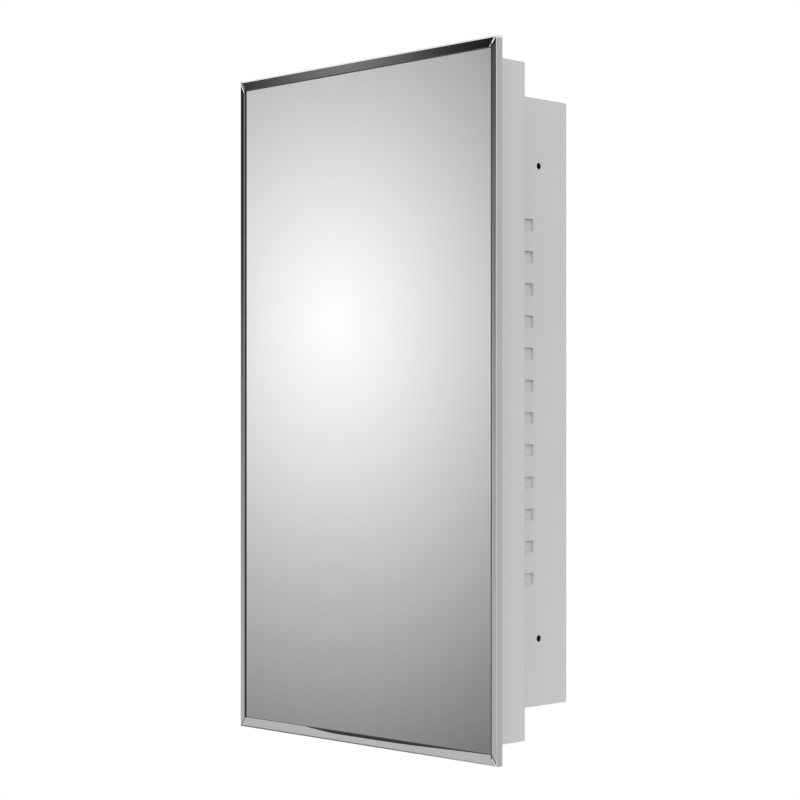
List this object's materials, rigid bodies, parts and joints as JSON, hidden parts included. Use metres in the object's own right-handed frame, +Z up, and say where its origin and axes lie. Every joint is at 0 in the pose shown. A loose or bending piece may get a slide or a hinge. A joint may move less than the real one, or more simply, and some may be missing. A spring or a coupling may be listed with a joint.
{
  "type": "medicine cabinet with mirror",
  "caption": "Semi-recessed medicine cabinet: a mirror door in a polished mitred frame, piano hinged on a folded steel body with lanced rests and lift-off glass shelves.",
  "frame": {"origin": "middle of the wall opening, in the plane of the finished wall", "axes": "+X to the right of someone facing the door, +Y into the wall, +Z up; the door faces -Y"},
  "size_m": [0.3556, 0.1468, 0.6604],
  "materials": {
    "enamel": "light grey-white powder coat, fine orange peel, low gloss",
    "polished_frame": "bright polished stainless steel",
    "mirror": "silvered float glass, flat polished edges",
    "shelf_glass": "clear float glass, ground green edges",
    "hinge_steel": "bright nickel-plated steel",
    "fastener_steel": "bright zinc-plated steel",
    "plated_steel": "zinc-plated steel, satin",
    "catch_plastic": "moulded white plastic",
    "magnet": "dark sintered ferrite",
    "bumper_rubber": "clear-grey soft bumper",
    "backing_board": "hardboard"
  },
  "bodies": {
    "cabinet": {"box_right": "enamel", "box_left": "enamel", "box_top": "enamel", "box_bottom": "enamel", "box_back": "enamel", "collar_right": "enamel", "collar_left": "enamel", "collar_top": "enamel", "collar_bottom": "enamel", "hinge_body_leaf": "hinge_steel", "hinge_pin": "hinge_steel", "hinge_body_rivets": "fastener_steel", "catch_housing": "catch_plastic", "catch_magnet": "magnet", "catch_pole_plates": "plated_steel", "catch_screws": "fastener_steel", "door_bumpers": "bumper_rubber"},
    "door": {"frame_top_rail": "polished_frame", "frame_bottom_rail": "polished_frame", "frame_left_stile": "polished_frame", "frame_right_stile": "polished_frame", "frame_corner_keys": "plated_steel", "frame_screws": "fastener_steel", "mirror_glass": "mirror", "backing_board": "backing_board", "door_back_pan": "enamel", "hinge_door_leaf": "hinge_steel", "hinge_door_rivets": "fastener_steel", "strike_plate": "plated_steel", "strike_screws": "fastener_steel"},
    "upper_shelf": {"shelf_top": "shelf_glass"},
    "middle_shelf": {"shelf_middle": "shelf_glass"},
    "lower_shelf": {"shelf_bottom": "shelf_glass"}
  },
  "joints": [
    {"name": "door_hinge", "type": "hinge", "parent": "cabinet", "child": "door", "pos_m": [-0.1642, -0.0465, 0], "axis": [0, 0, -1], "range_deg": [0, 105]},
    {"name": "upper_shelf_lift", "type": "slide", "parent": "cabinet", "child": "upper_shelf", "axis": [0, 0, 1], "range_m": [0, 0.012]},
    {"name": "middle_shelf_lift", "type": "slide", "parent": "cabinet", "child": "middle_shelf", "axis": [0, 0, 1], "range_m": [0, 0.012]},
    {"name": "lower_shelf_lift", "type": "slide", "parent": "cabinet", "child": "lower_shelf", "axis": [0, 0, 1], "range_m": [0, 0.012]}
  ]
}
